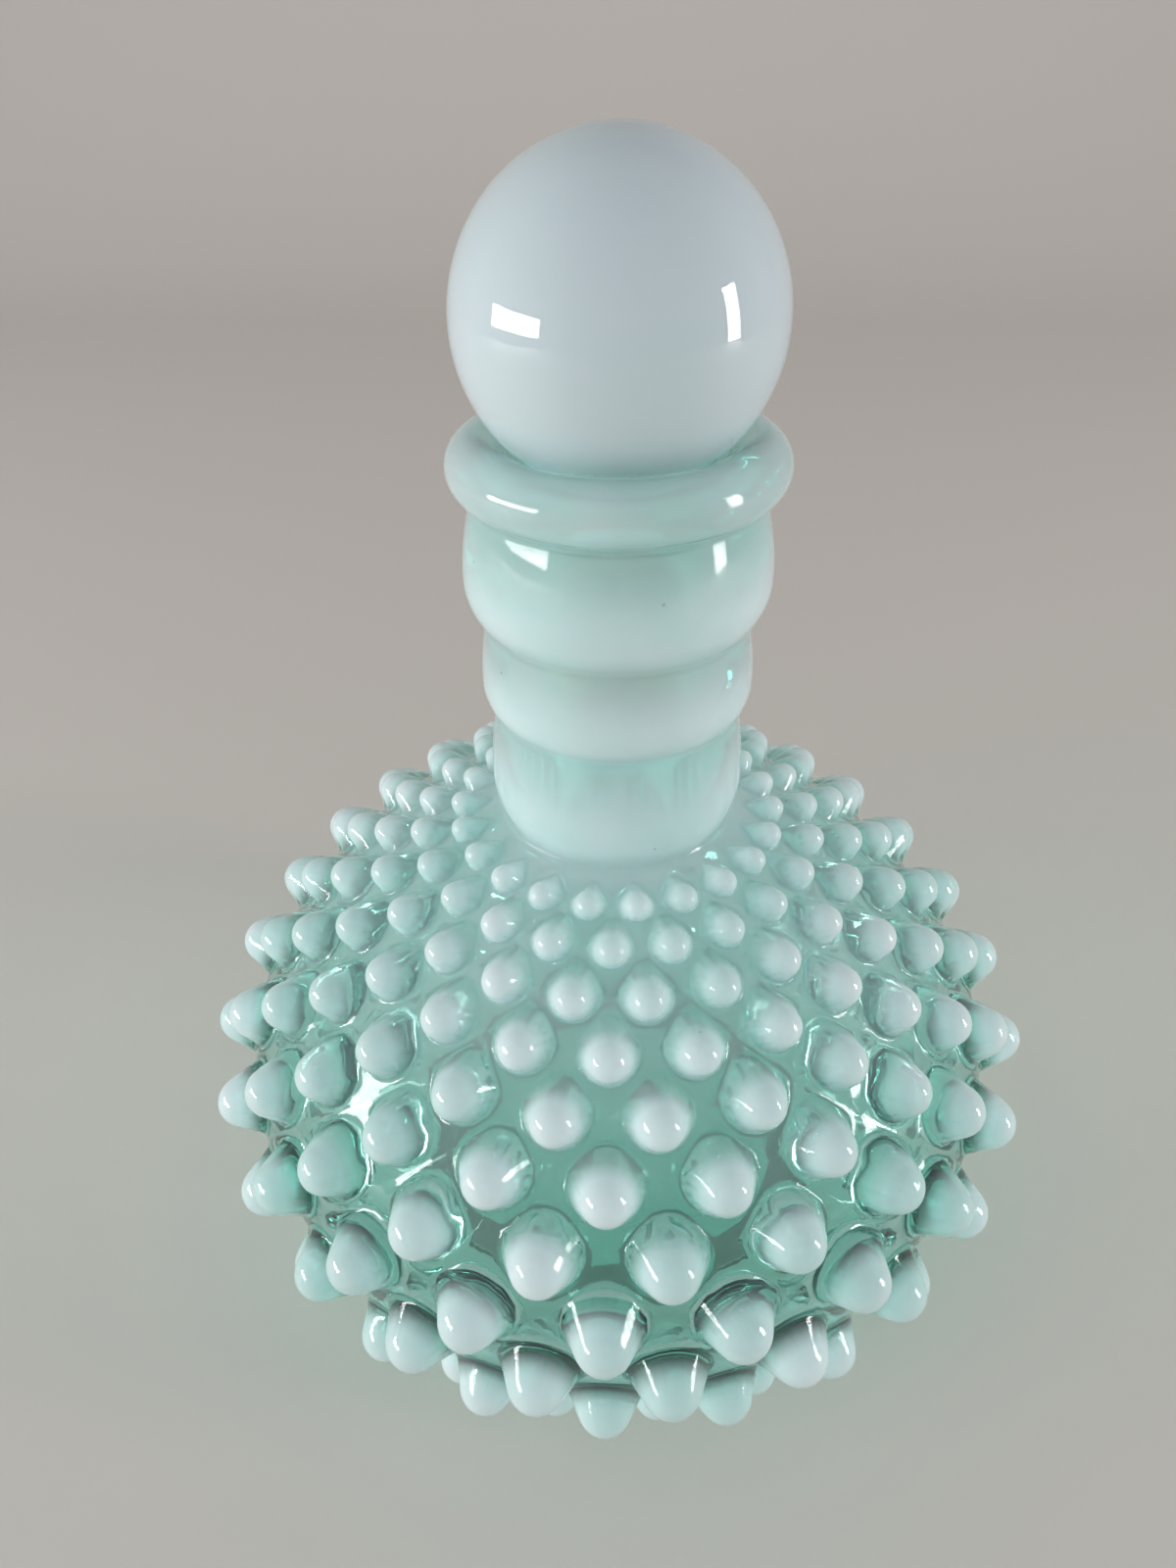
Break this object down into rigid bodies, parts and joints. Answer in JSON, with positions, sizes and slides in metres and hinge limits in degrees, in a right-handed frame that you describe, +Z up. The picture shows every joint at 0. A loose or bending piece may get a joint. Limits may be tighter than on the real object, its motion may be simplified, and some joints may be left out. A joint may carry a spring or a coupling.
{
  "type": "barber bottle",
  "caption": "Globe-shaped hobnail glass barber bottle with a ringed neck, rolled lip and a lift-out ball stopper on a cork sleeve.",
  "frame": {"origin": "centre of the foot, on the table", "axes": "+Z up along the bottle's axis; the picture looks along +Y and down"},
  "size_m": [0.113, 0.1126, 0.1447],
  "materials": {
    "aqua_opalescent_glass": "polished opalescent glass, milky at the hob tips, neck and lip, clear aqua between them",
    "opal_glass": "polished milky opal glass",
    "cork": "matt natural cork"
  },
  "bodies": {
    "bottle": {"bottle": "aqua_opalescent_glass", "hobs": "aqua_opalescent_glass"},
    "cork": {"cork_sleeve": "cork"},
    "stopper": {"stopper": "opal_glass"}
  },
  "joints": [
    {"name": "stopper_lift", "type": "slide", "parent": "bottle", "child": "cork", "axis": [0, 0, 1], "range_m": [0, 0.05]},
    {"name": "stopper_turn", "type": "hinge", "parent": "cork", "child": "stopper", "pos_m": [0, 0, 0.095], "axis": [0, 0, 1], "continuous": true}
  ]
}
